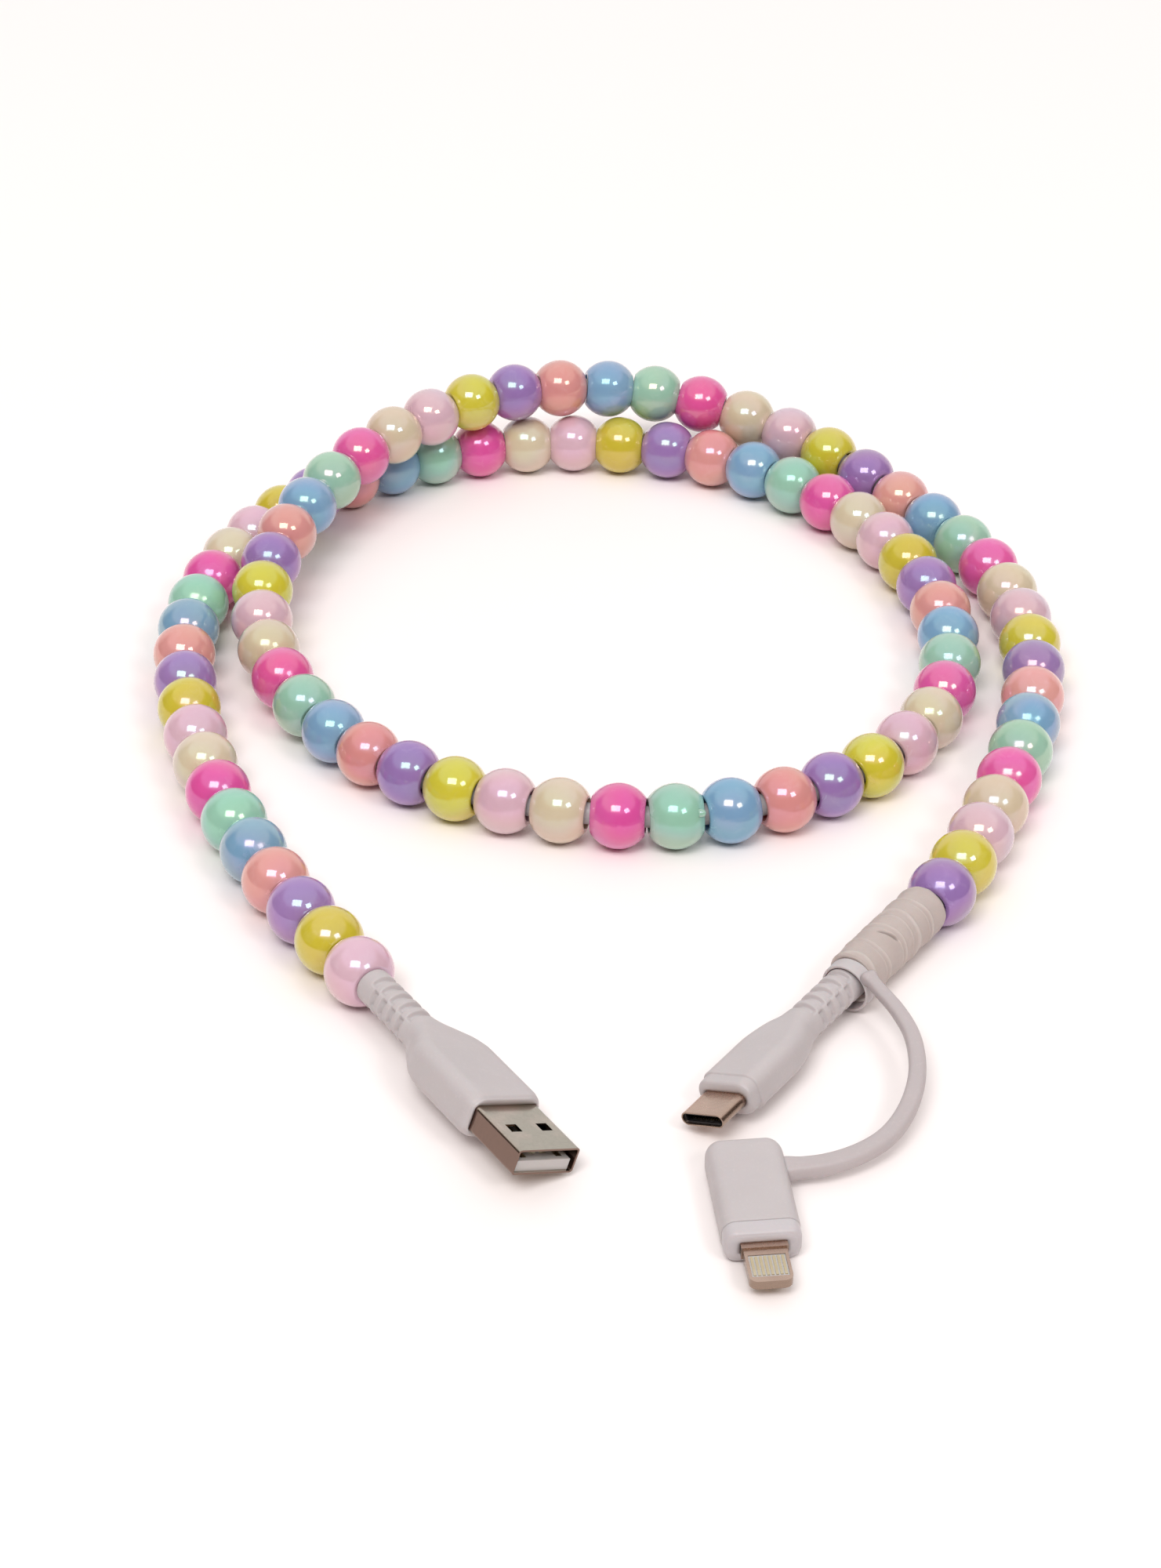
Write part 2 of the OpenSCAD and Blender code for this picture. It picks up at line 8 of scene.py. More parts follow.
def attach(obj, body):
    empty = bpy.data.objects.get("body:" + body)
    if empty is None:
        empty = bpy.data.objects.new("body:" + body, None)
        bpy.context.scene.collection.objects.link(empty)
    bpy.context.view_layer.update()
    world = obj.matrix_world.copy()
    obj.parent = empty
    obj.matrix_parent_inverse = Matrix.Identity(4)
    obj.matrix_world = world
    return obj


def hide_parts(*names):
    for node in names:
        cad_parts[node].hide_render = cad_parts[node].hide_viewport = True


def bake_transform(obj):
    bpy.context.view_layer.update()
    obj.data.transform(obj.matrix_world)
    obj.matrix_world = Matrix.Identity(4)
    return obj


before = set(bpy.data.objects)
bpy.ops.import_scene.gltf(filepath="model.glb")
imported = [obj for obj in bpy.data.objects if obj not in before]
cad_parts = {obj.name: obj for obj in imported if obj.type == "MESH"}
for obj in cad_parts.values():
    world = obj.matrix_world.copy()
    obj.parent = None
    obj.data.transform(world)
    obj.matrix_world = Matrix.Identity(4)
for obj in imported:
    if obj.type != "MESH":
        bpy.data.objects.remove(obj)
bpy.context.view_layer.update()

MM = 0.001


# ---- curves through points ----

def knot(pts, k):
    """A point of the list, or the mirror image of its end neighbour past either end."""
    if k < 0:
        return 2 * pts[0] - pts[1]
    if k > len(pts) - 1:
        return 2 * pts[-1] - pts[-2]
    return pts[k]


def on_curve(pts, u):
    """Point of the smooth curve through pts at place u, which counts the points."""
    k = min(int(math.floor(u)), len(pts) - 2)
    t = u - k
    p0, p1, p2, p3 = (knot(pts, k + i) for i in (-1, 0, 1, 2))
    return (2 * p1 + t * (p2 - p0) + t * t * (2 * p0 - 5 * p1 + 4 * p2 - p3)
            + t ** 3 * (3 * p1 - p0 - 3 * p2 + p3)) / 2


def heading_at(pts, u, step=0.01):
    """Unit direction of the curve at place u."""
    d = on_curve(pts, min(u + step, len(pts) - 1)) - on_curve(pts, max(u - step, 0))
    return d / np.linalg.norm(d)


def curve_samples(pts, u_from, count):
    return [on_curve(pts, u) for u in np.linspace(u_from, len(pts) - 1, count)]


def smooth(low, high, x):
    """0 below low, 1 above high and an S-shaped rise between them."""
    t = np.clip((x - low) / (high - low), 0, 1)
    return t * t * (3 - 2 * t)


# ---- meshes from rings of points ----

def mesh_object(name, verts, faces, material):
    mesh = bpy.data.meshes.new(name)
    mesh.from_pydata([tuple(v) for v in verts], [], [tuple(f) for f in faces])
    mesh.polygons.foreach_set("use_smooth", [True] * len(mesh.polygons))
    mesh.materials.append(material)
    mesh.update()
    obj = bpy.data.objects.new(name, mesh)
    bpy.context.scene.collection.objects.link(obj)
    return obj


def ring_faces(rings, around, first=0, joined=False):
    """Quads between successive rings. The last ring is joined to the first, or both ends get a flat
    face."""
    faces = []
    for i in range(rings - 1):
        a, b = first + i * around, first + (i + 1) * around
        for j in range(around):
            k = (j + 1) % around
            faces.append((a + j, a + k, b + k, b + j))
    last = first + (rings - 1) * around
    if joined:
        for j in range(around):
            k = (j + 1) % around
            faces.append((last + j, last + k, first + k, first + j))
    else:
        faces.append(tuple(first + j for j in reversed(range(around))))
        faces.append(tuple(last + j for j in range(around)))
    return faces


def moved(verts, matrix):
    """The points after a turn and a shift."""
    m = np.array(matrix)
    return verts @ m[:3, :3].T + m[:3, 3]


def loft(name, rings, material, matrix):
    """A closed skin over rings of equal numbers of points."""
    verts = moved(np.concatenate(rings), matrix)
    return mesh_object(name, verts, ring_faces(len(rings), len(rings[0])), material)


def round_ring(x, r, angles):
    """Points in metres at these angles round local X, at station x and radius r in mm."""
    return np.column_stack([np.full(len(angles), x), r * np.cos(angles), r * np.sin(angles)]) * MM


def full_turn(count):
    """Angles evenly spread over a full turn."""
    return np.linspace(0, 2 * math.pi, count, endpoint=False)


def point_values(obj, name, parts):
    """Gives each point of a mesh one number that its material can read; parts are joined in order."""
    values = np.concatenate(parts)
    obj.data.attributes.new(name, "FLOAT", "POINT").data.foreach_set("value", values)


# ---- materials ----

# Numbers of a Mix node's colour sockets, which share their names with its other sockets.
MIX_A = 6
MIX_B = 7
MIX_RESULT = 2


def linear(rgb):
    """Linear colour of an sRGB triple of 0 to 255."""
    c = np.array(rgb) / 255
    return tuple(np.where(c <= 0.04045, c / 12.92, ((c + 0.055) / 1.055) ** 2.4)) + (1.0,)


class Nodes:
    """A Principled material and short ways to add texture nodes to it."""

    def __init__(self, name, **sockets):
        self.material = bpy.data.materials.new(name)
        self.material.use_nodes = True
        self.tree = self.material.node_tree
        self.shader = self.tree.nodes["Principled BSDF"]
        for key, value in sockets.items():
            socket = key.replace("_", " ").title().replace("Ior", "IOR")
            self.shader.inputs[socket].default_value = value
        self.place = self.tree.nodes.new("ShaderNodeTexCoord").outputs["Object"]

    def node(self, kind, **settings):
        n = self.tree.nodes.new("ShaderNode" + kind)
        for key, value in settings.items():
            setattr(n, key, value)
        return n

    def link(self, a, b):
        self.tree.links.new(a, b)

    def noise(self, size, detail=2.0, rough=0.5, distortion=0.0, where=None):
        """Noise from 0 to 1 with features of this size in metres."""
        n = self.node("TexNoise")
        n.inputs["Scale"].default_value = 1 / size
        n.inputs["Detail"].default_value = detail
        n.inputs["Roughness"].default_value = rough
        n.inputs["Distortion"].default_value = distortion
        self.link(where or self.place, n.inputs["Vector"])
        return n.outputs["Fac"]

    def spread(self, fac, low, high, out_low=0.0, out_high=1.0, ease="LINEAR"):
        """Stretches the span low to high over out_low to out_high."""
        n = self.node("MapRange", interpolation_type=ease)
        ends = {"From Min": low, "From Max": high, "To Min": out_low, "To Max": out_high}
        for socket, value in ends.items():
            n.inputs[socket].default_value = value
        self.link(fac, n.inputs["Value"])
        return n.outputs["Result"]

    def math(self, operation, a, b):
        n = self.node("Math", operation=operation)
        for socket, value in zip(n.inputs, (a, b)):
            if isinstance(value, (int, float)):
                socket.default_value = value
            else:
                self.link(value, socket)
        return n.outputs["Value"]

    def mix(self, fac, a, b):
        n = self.node("Mix", data_type="RGBA")
        for number, value in zip((0, MIX_A, MIX_B), (fac, a, b)):
            if isinstance(value, (int, float, tuple)):
                n.inputs[number].default_value = value
            else:
                self.link(value, n.inputs[number])
        return n.outputs[MIX_RESULT]

    def attribute(self, name):
        return self.node("Attribute", attribute_name=name).outputs

    def colour(self, socket):
        self.link(socket, self.shader.inputs["Base Color"])

    def roughness(self, socket):
        self.link(socket, self.shader.inputs["Roughness"])

    def bump(self, height, depth, strength=1.0):
        """Relief of this depth in metres from a height of 0 to 1."""
        n = self.node("Bump")
        n.inputs["Strength"].default_value = strength
        n.inputs["Distance"].default_value = depth
        self.link(height, n.inputs["Height"])
        self.link(n.outputs["Normal"], self.shader.inputs["Normal"])


def bead_material(name, rgb, deep_rgb):
    """Pastel plastic under a thin pearly coat. The coat's thickness drifts slowly over each bead, and
    some of it is rubbed dull near the rims."""
    m = Nodes(name, roughness=0.12, ior=1.5, thin_film_ior=1.64, coat_weight=0.8, coat_roughness=0.04,
              subsurface_weight=0.5, subsurface_radius=(1, 1, 1), subsurface_scale=0.0025)
    tone = m.attribute("bead_tone")["Fac"]
    rim = m.attribute("bead_rim")["Fac"]
    cloud = m.noise(0.016, 1.5, 0.4, 0.3)
    streak = m.noise(0.004, 4, 0.6, 1.2)
    body = m.mix(m.spread(cloud, 0.4, 0.62, 0.0, 0.5, "SMOOTHSTEP"), linear(rgb), linear(deep_rgb))
    body = m.mix(m.spread(streak, 0.55, 0.85, 0.0, 0.08), body, linear((255, 246, 250)))
    value = m.node("HueSaturation")
    m.link(body, value.inputs["Color"])
    m.link(m.spread(tone, 0, 1, 0.95, 1.03), value.inputs["Value"])
    m.link(m.spread(tone, 0, 1, 0.494, 0.506), value.inputs["Hue"])
    m.colour(value.outputs["Color"])
    worn = m.math("MULTIPLY", rim, m.spread(streak, 0.45, 0.62))
    m.roughness(m.math("ADD", m.spread(cloud, 0.4, 0.7, 0.08, 0.16), m.math("MULTIPLY", worn, 0.2)))
    film = m.math("ADD", m.spread(cloud, 0.3, 0.7, 300, 400), m.spread(tone, 0, 1, -60, 80))
    m.link(film, m.shader.inputs["Thin Film Thickness"])
    m.bump(m.noise(0.0016, 2, 0.5), 0.000006)
    return m.material


def plastic_material(name, rgb, grain=0.00022, shine=0.42, painted_hollow_shade=0.35, glow=0.08):
    """Soft moulded plastic with a fine matt grain, faint flow marks and painted shade that darkens its
    hollows.
    """
    m = Nodes(name, roughness=shine, ior=1.46, subsurface_weight=glow, subsurface_scale=0.003)
    cloud = m.noise(0.009, 3, 0.5)
    specks = m.noise(0.0006, 3, 0.6)
    base = m.mix(m.spread(cloud, 0.35, 0.65, 0.0, 0.35), linear(rgb), linear(tuple(c * 0.955 for c in rgb)))
    base = m.mix(m.spread(specks, 0.55, 0.8, 0.0, 0.12), base, linear((236, 230, 228)))
    # Painted shade: where ambient occlusion finds a hollow, the colour is mixed towards a darker copy of
    # itself.
    hollow = m.node("AmbientOcclusion", samples=8)
    hollow.inputs["Distance"].default_value = 0.0007
    m.link(base, hollow.inputs["Color"])
    shade = m.spread(hollow.outputs["AO"], 0.35, 1.0, painted_hollow_shade, 0.0)
    m.colour(m.mix(shade, base, linear(tuple(c * 0.8 for c in rgb))))
    m.roughness(m.spread(m.noise(0.003, 3, 0.6), 0.3, 0.7, shine - 0.06, shine + 0.1))
    m.bump(m.noise(grain, 3, 0.6), 0.000012, 0.7)
    return m.material


def metal_material(name, rgb, cloud_rgb, upright_shade_rgb, roughness=0.22, brush=(1.0, 1.0, 1.0), marks=1.0):
    """Plated metal: stretched rolling marks, cloudy tarnish, and painted shade: a darker tone on the faces
    that stand upright, in place of the dim surroundings that they reflect."""
    m = Nodes(name, metallic=1.0, roughness=roughness)
    stretch = m.node("Mapping")
    stretch.inputs["Scale"].default_value = brush
    m.link(m.place, stretch.inputs["Vector"])
    lines = m.noise(0.0005, 4, 0.65, where=stretch.outputs["Vector"])
    cloud = m.noise(0.006, 1.5, 0.45)
    base = m.mix(m.spread(cloud, 0.4, 0.6, 0.0, 1.0, "SMOOTHSTEP"), linear(rgb), linear(cloud_rgb))
    # Painted shade: faces that stand upright are mixed towards a darker tone, for the dim surroundings they
    # reflect.
    split = m.node("SeparateXYZ")
    m.link(m.node("NewGeometry").outputs["Normal"], split.inputs[0])
    upright = m.spread(m.math("ABSOLUTE", split.outputs["Z"], 0.0), 0.45, 0.85, 1.0, 0.0)
    base = m.mix(upright, base, linear(upright_shade_rgb))
    dark = linear(tuple(c * 0.6 for c in rgb))
    m.colour(m.mix(m.spread(lines, 0.35, 0.75, 0.0, 0.2 * marks), base, dark))
    m.roughness(m.spread(lines, 0.3, 0.7, roughness - 0.06 * marks, roughness + 0.1 * marks))
    m.bump(lines, 0.000004, 0.6 * marks)
    return m.material


def tape_material(name, rgb):
    """Thin matt tape with fine fibres and cloudy handling marks, with a painted highlight on the lip of
    each lap and painted shade in the crease."""
    m = Nodes(name, roughness=0.55, ior=1.45, subsurface_weight=0.1, subsurface_scale=0.003)
    lap = m.attribute("tape_lap_highlight_and_shade")["Fac"]
    cloud = m.noise(0.004, 4, 0.6, 0.4)
    fibre = m.noise(0.00035, 4, 0.7)
    base = m.mix(m.spread(cloud, 0.35, 0.68, 0.0, 0.5), linear(rgb), linear(tuple(c * 0.95 for c in rgb)))
    # Painted highlight: the lip of each lap is mixed towards a paler colour. Painted shade: the crease is
    # mixed towards dark brown.
    base = m.mix(m.spread(lap, 0.0, 1.0, 0.0, 0.45), base, linear((204, 197, 192)))
    base = m.mix(m.spread(lap, -0.2, -1.2, 0.0, 0.6), base, linear((112, 98, 92)))
    base = m.mix(m.spread(fibre, 0.5, 0.8, 0.0, 0.15), base, linear(tuple(c * 0.8 for c in rgb)))
    m.colour(base)
    m.roughness(m.spread(cloud, 0.3, 0.7, 0.42, 0.62))
    m.bump(m.math("ADD", fibre, m.math("MULTIPLY", m.noise(0.0012, 3, 0.6), 2.0)), 0.00003, 0.6)
    return m.material


BEAD_COLOURS = {
    "light_pink": ((218, 184, 197), (218, 176, 191)),
    "yellow": ((208, 196, 66), (208, 193, 47)),
    "purple": ((158, 127, 181), (152, 114, 181)),
    "coral": ((221, 158, 153), (221, 143, 137)),
    "blue": ((133, 170, 198), (118, 162, 198)),
    "mint": ((159, 201, 181), (149, 201, 175)),
    "hot_pink": ((224, 97, 167), (224, 75, 153)),
    "cream": ((212, 198, 172), (212, 194, 162)),
}
PLASTIC = plastic_material("pale_plastic", (193, 186, 187))
# The ring's plastic is a lighter copy of the pale plastic: painted light that lifts the shade in the gap
# round the neck. It has no painted hollow shade.
RING_PLASTIC = plastic_material("pale_ring_plastic", (197, 190, 191), painted_hollow_shade=0.0, glow=0.15)
STRAP_PLASTIC = plastic_material("pale_strap_plastic", (187, 178, 179))
CAP_PLASTIC = plastic_material("pale_cap_plastic", (197, 191, 194), 0.0003, 0.36)
JACKET = plastic_material("pale_jacket", (196, 190, 192), 0.0003, 0.45)
TAPE = tape_material("wound_tape", (190, 177, 172))
# Each metal's third colour is the painted shade of its upright faces.
STEEL = metal_material("plated_steel", (204, 190, 178), (188, 181, 168), (128, 106, 96), 0.2,
                       (1.0, 1.0, 0.2), 0.7)
DARK_STEEL = metal_material("brushed_steel", (206, 180, 164), (198, 172, 157), (154, 134, 120), 0.26,
                            (0.3, 1.0, 1.0), 0.4)
GOLD = metal_material("gold_contacts", (226, 212, 182), (218, 202, 168), (190, 170, 130), 0.28, marks=0.5)
WHITE_CORE = plastic_material("white_core_plastic", (200, 195, 193), 0.0002, 0.38)
BLACK_CORE = plastic_material("black_core_plastic", (26, 25, 27), 0.0002, 0.4)
INNER = plastic_material("inner_moulding_plastic", (196, 190, 184), 0.0004, 0.5)
BOARD = plastic_material("board_lacquer", (38, 104, 66), 0.0005, 0.3)
WIRE = plastic_material("wire_insulation_plastic", (176, 48, 44), 0.0003, 0.35)

# ---- camera ----

TILT = math.radians(57.4)
camera = bpy.data.objects.new("camera", bpy.data.cameras.new("camera"))
camera.location = (-0.006, -0.5346, 0.3432)
camera.rotation_euler = (TILT, 0, 0)
camera.data.sensor_width = 36
camera.data.lens = 79.2
camera.data.clip_start = 0.01
bpy.context.scene.collection.objects.link(camera)
bpy.context.scene.camera = camera

# ---- centre lines of the cable and the strap ----

# Bead 1, every third bead after it, and one point past either end bead.
ROUTE = np.array([
    (-26, -92.5, 6), (-43, -65.5, 6), (-59, -38.5, 6), (-71.5, -10, 6), (-79.5, 19, 6),
    (-82.5, 49, 6), (-76.5, 78, 6), (-61.5, 104.5, 6), (-37, 122.5, 6), (-7.5, 128.5, 6),
    (22, 121.5, 6), (45.5, 101.5, 6), (60, 75.5, 6), (65.5, 46, 6), (59.5, 15.5, 6),
    (39.5, -7.5, 6), (11, -18, 6), (-19.5, -13, 6), (-45, 3, 6), (-62.5, 27.5, 7.5),
    (-68.5, 57, 10), (-61.5, 86.5, 13), (-45, 111.5, 16.5), (-20, 128.5, 18), (10, 134, 15),
    (38.5, 125, 9.5), (60.5, 101.5, 6.5), (76, 73.5, 6), (81, 43, 6), (77.5, 13.5, 6),
    (68.5, -15, 6), (56.5, -42, 6), (39.5, -66, 4.9)]) * MM
# Where on ROUTE the jacket starts, inside the USB-A grip.
JACKET_FROM = 0.2
CABLE_D = 0.004
# From the ring to the adapter.
TETHER = np.array([
    (41.7, -69.4, 7.8), (43.6, -73.1, 7.4), (46, -77.5, 6.8), (47.9, -83, 6.1), (48.4, -89, 5.4),
    (47.7, -95, 4.8), (45.6, -101.4, 4.2), (42.4, -106.7, 3.7), (38, -110.4, 3.3), (32.4, -113, 3.1),
    (26.1, -114.1, 3)]) * MM


def cable_curve():
    """The cable as one open curve with a round section."""
    pts = curve_samples(ROUTE, JACKET_FROM, 520)
    data = bpy.data.curves.new("cable", "CURVE")
    data.dimensions = "3D"
    data.bevel_depth = CABLE_D / 2
    data.bevel_resolution = 6
    data.use_fill_caps = True
    spline = data.splines.new("POLY")
    spline.points.add(len(pts) - 1)
    spline.points.foreach_set("co", np.hstack([pts, np.ones((len(pts), 1))]).ravel())
    spline.use_smooth = True
    data.materials.append(JACKET)
    obj = bpy.data.objects.new("cable", data)
    bpy.context.scene.collection.objects.link(obj)
    return obj


cable = cable_curve()

# ---- frames of the two plugs and the adapter: local +X points to the mouth or the tip ----

USB_A_AT = Vector((-40.6, -69.6, 6.25)) * MM
USB_C_AT = Vector((53.1, -45.9, 5.25)) * MM
ADAPTER_AT = Vector((19.3, -109.6, 3)) * MM


def placed(at, heading, pitch=0.0, roll=0.0):
    """A frame at this point, turned by these angles in degrees."""
    turns = ((heading, "Z"), (pitch, "Y"), (roll, "X"))
    z_turn, y_turn, x_turn = (Matrix.Rotation(math.radians(a), 4, axis) for a, axis in turns)
    return Matrix.Translation(at) @ z_turn @ y_turn @ x_turn


USB_A = placed(USB_A_AT, -57.2, 1.05, -21.5)
USB_C = placed(USB_C_AT, -124.7, 0.8, 19)
ADAPTER = placed(ADAPTER_AT, -84)

# ---- moulded bodies: lofts across local +X ----
# A section is (station, half width, half height, corner radius) in mm.
# A set of grooves is (first station, how many, pitch) in mm.

AROUND = 128
NECK_R = 3.2
RIB_DEPTH = 0.65
RIB_W = 1.3
TOP_REACH = 2.6
FLANK_REACH = 1.6


def round_outline(hw, hh, r):
    """AROUND points round a rectangle with round corners, evenly spread along each quarter."""
    r = min(r, hw, hh)
    right = np.array(round_quarter(hw, hh, r))
    top = np.array([(-z, y) for y, z in round_quarter(hh, hw, r)])
    half = np.concatenate([right, top])
    return np.concatenate([half, -half])


def round_quarter(hw, hh, r):
    """The first quarter of a round-cornered outline, from its middle right to its middle top."""
    flat_w, flat_h = hw - r, hh - r
    arc = math.pi / 2 * r
    total = flat_w + arc + flat_h
    quarter = AROUND // 4
    pts = []
    for i in range(quarter):
        s = total * i / quarter
        if s < flat_h:
            pts.append((hw, s))
        elif s < flat_h + arc:
            a = (s - flat_h) / r
            pts.append((flat_w + r * math.cos(a), flat_h + r * math.sin(a)))
        else:
            pts.append((flat_w - (s - flat_h - arc), hh))
    return pts


def ring_at(x, outline):
    """The outline's (y, z) points set at station x."""
    return np.column_stack([np.full(len(outline), x), outline])


def section_at(sections, x):
    """Half width, half height and corner radius at station x, eased between the sections by a
    monotone cubic."""
    xs = np.array([s[0] for s in sections], float)
    out = []
    for c in (1, 2, 3):
        ys = np.array([s[c] for s in sections], float)
        slopes = np.diff(ys) / np.diff(xs)
        grads = np.zeros(len(xs))
        for i in range(1, len(xs) - 1):
            if slopes[i - 1] * slopes[i] > 0:
                grads[i] = 2 * slopes[i - 1] * slopes[i] / (slopes[i - 1] + slopes[i])
        i = int(np.clip(np.searchsorted(xs, x) - 1, 0, len(xs) - 2))
        h = xs[i + 1] - xs[i]
        t = (x - xs[i]) / h
        out.append((2 * t ** 3 - 3 * t ** 2 + 1) * ys[i] + (t ** 3 - 2 * t ** 2 + t) * h * grads[i]
                   + (3 * t ** 2 - 2 * t ** 3) * ys[i + 1] + (t ** 3 - t ** 2) * h * grads[i + 1])
    return out


def groove_share(x, first, count, pitch, width=RIB_W, edge=0.5):
    """How deep a groove is at station x, from 0 between grooves to 1 on a groove's floor."""
    share = 0.0
    for i in range(count):
        a = first + i * pitch
        share = max(share, float(smooth(a - edge / 2, a + edge / 2, x)
                                 * (1 - smooth(a + width - edge / 2, a + width + edge / 2, x))))
    return share


def grooved(outline, x, grooves, sides):
    """Cuts grooves across the top and underside of a neck, and a second set across its flanks."""
    radius = np.hypot(outline[:, 0], outline[:, 1])
    floor_r = NECK_R - RIB_DEPTH
    for column, reach, (first, count, pitch) in ((0, TOP_REACH, grooves), (1, FLANK_REACH, sides)):
        share = groove_share(x, first, count, pitch)
        inside = share * (1 - smooth(reach - 0.35, reach + 0.15, np.abs(outline[:, column])))
        radius = np.minimum(radius, radius + (floor_r - radius) * inside)
    return outline * (radius / np.hypot(outline[:, 0], outline[:, 1]))[:, None]


def grip_rings(sections, stations, grooves=None, sides=None):
    """Rings of a moulded body, with grooves across its top and underside and across its sides."""
    rings = []
    for x in stations:
        outline = round_outline(*section_at(sections, x))
        if grooves:
            outline = grooved(outline, x, grooves, sides)
        rings.append(ring_at(x, outline))
    return rings


def stations_of(*stretches):
    """Stations from (start, end, step) stretches, each without its end, and the last end."""
    xs = [np.arange(a, b - step / 2, step) for a, b, step in stretches]
    return np.concatenate(xs + [[stretches[-1][1]]])


def usb_a_grip():
    """The grip, its flared shoulder, its ribbed neck, and the sunk mouth that the tube stands in."""
    sections = [
        (0, 2.9, 2.9, 2.9), (0.4, 3.15, 3.15, 3.15), (15.4, 3.3, 3.3, 3.3), (17.4, 3.8, 3.4, 3.2),
        (20.4, 5.3, 3.6, 2.9), (23.4, 6.7, 3.8, 2.7), (26.4, 7.2, 3.9, 2.6), (39.2, 7.2, 3.9, 2.6),
        (40.5, 7.0, 3.75, 2.5), (41.2, 6.6, 3.4, 2.3)]
    stations = stations_of((0, 0.4, 0.1), (0.4, 16, 0.08), (16, 28, 0.4), (28, 39.2, 1.2),
                           (39.2, 41.2, 0.12))
    outer = grip_rings(sections, stations, (3, 5, 2.74), (4.37, 4, 2.74))
    back = [ring_at(1.5, round_outline(2.04, 2.04, 2.04)), ring_at(0, round_outline(2.1, 2.1, 2.1)),
            ring_at(-0.02, round_outline(2.6, 2.6, 2.6))]
    front = [ring_at(41.26, round_outline(6.35, 3.15, 2.0)), ring_at(41.2, round_outline(6.1, 2.38, 0.7)),
             ring_at(40.5, round_outline(6.05, 2.3, 0.62))]
    return loft("usb_a_grip_skin", [r * MM for r in back + outer + front], PLASTIC, USB_A)


def usb_c_grip():
    """The grip with its stepped front collar and its ribbed neck, which runs back into the sleeve."""
    sections = [
        (21, 3.2, 3.2, 3.2), (38.6, 3.2, 3.2, 3.2), (41.6, 3.5, 3.2, 3.1), (44.6, 4.6, 3.25, 2.8),
        (47.6, 5.3, 3.25, 2.6), (50.1, 5.55, 3.25, 2.4), (60.75, 5.55, 3.25, 2.3),
        (60.95, 5.45, 3.15, 2.28), (61.1, 5.25, 3.0, 2.25), (62.7, 5.2, 2.95, 2.2),
        (63.1, 5.05, 2.8, 2.1), (63.3, 4.8, 2.6, 2.0)]
    stations = stations_of((21, 27, 0.5), (27, 40, 0.08), (40, 53, 0.4), (53, 60.6, 0.8),
                           (60.6, 63.3, 0.06))
    outer = grip_rings(sections, stations, (27.5, 5, 2.7), (28.85, 4, 2.7))
    front = [ring_at(63.34, round_outline(4.6, 1.6, 1.4)), ring_at(63.3, round_outline(4.17, 1.24, 1.23)),
             ring_at(62.6, round_outline(4.14, 1.21, 1.2))]
    return loft("usb_c_grip_skin", [r * MM for r in outer + front], PLASTIC, USB_C)


def adapter_housing():
    sections = [
        (0, 4.85, 2.3, 1.7), (0.3, 5.35, 2.65, 1.9), (0.9, 5.8, 2.9, 2.1), (1.8, 6.1, 3, 2.2),
        (2.6, 6.15, 3, 2.2), (19.95, 6.15, 3, 2.2), (20.1, 6.11, 2.96, 2.16), (20.2, 6.0, 2.86, 2.1)]
    stations = stations_of((0, 3, 0.12), (3, 19.6, 1.0), (19.6, 20.2, 0.06))
    outer = grip_rings(sections, stations)
    mouth = [ring_at(5.0, round_outline(4.47, 1.58, 1.57)), ring_at(0.1, round_outline(4.47, 1.58, 1.57)),
             ring_at(-0.02, round_outline(4.56, 1.75, 1.6))]
    front = [ring_at(20.1, round_outline(4.4, 1.6, 1.2))]
    return loft("adapter_housing_skin", [r * MM for r in mouth + outer + front], PLASTIC, ADAPTER)


def adapter_cap():
    sections = [
        (20.1, 5.75, 2.62, 2.0), (20.25, 5.93, 2.8, 2.1), (20.4, 6.03, 2.9, 2.1), (22.2, 6.0, 2.88, 2.1),
        (22.7, 5.85, 2.76, 2.0), (23.0, 5.6, 2.55, 1.9), (23.2, 5.15, 2.2, 1.7)]
    outer = grip_rings(sections, stations_of((20.1, 20.4, 0.05), (20.4, 22.2, 0.3), (22.2, 23.2, 0.06)))
    front = [ring_at(23.23, round_outline(4.2, 1.4, 0.8)), ring_at(23.2, round_outline(3.66, 1.1, 0.2)),
             ring_at(22.6, round_outline(3.63, 1.07, 0.15))]
    return loft("adapter_cap_skin", [r * MM for r in outer + front], CAP_PLASTIC, ADAPTER)


def tether_ring():
    """A thin rounded band that hangs loosely on the neck."""
    back, front, inner, outer = 24.3, 27.1, 3.9, 4.4
    edge, edge_steps = 0.22, 6
    around = 96
    profile = [(back + (front - back) / 2, inner)]
    for cx, cr, start in ((back + edge, inner + edge, -90), (back + edge, outer - edge, 180),
                          (front - edge, outer - edge, 90), (front - edge, inner + edge, 0)):
        for k in range(edge_steps + 1):
            a = math.radians(start - 90 / edge_steps * k)
            profile.append((cx + edge * math.cos(a), cr + edge * math.sin(a)))
    angles = full_turn(around)
    hang = Matrix.Translation(Vector((0, 0.26, -0.53)) * MM)
    verts = moved(np.concatenate([round_ring(x, r, angles) for x, r in profile]), USB_C @ hang)
    faces = ring_faces(len(profile), around, joined=True)
    return mesh_object("tether_ring_skin", verts, faces, RING_PLASTIC)


